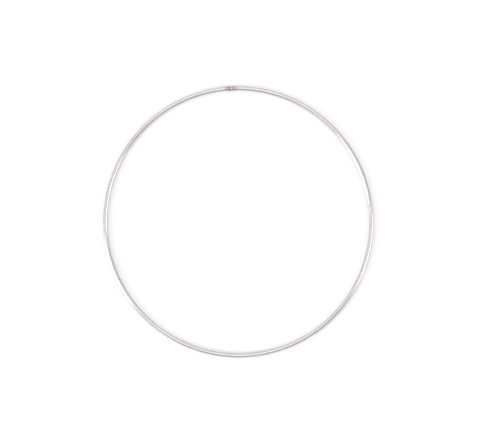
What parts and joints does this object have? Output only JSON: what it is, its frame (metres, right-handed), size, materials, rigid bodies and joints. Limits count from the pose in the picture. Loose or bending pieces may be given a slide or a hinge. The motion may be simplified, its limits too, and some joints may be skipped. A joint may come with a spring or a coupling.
{
  "type": "wreath frame",
  "caption": "Plain round hoop of bright plated steel wire, closed by a trimmed butt weld, used as the base of a wreath or a hanging floral ring.",
  "frame": {"origin": "centre of the hoop, on the plane that it lies on", "axes": "+Z along the hoop's axis, up from the plane it lies on; +Y from the centre towards the weld; +X completes the right-handed frame"},
  "size_m": [0.2, 0.2002, 0.003],
  "materials": {
    "plated_wire": "bright nickel-like plating on drawn steel wire, dulled and tinted by heat for a few millimetres next to the weld",
    "weld_metal": "squeezed-out weld metal, trimmed level above and below, slightly duller than the wire"
  },
  "bodies": {
    "root": {"hoop_wire": "plated_wire", "butt_weld": "weld_metal"}
  },
  "joints": []
}
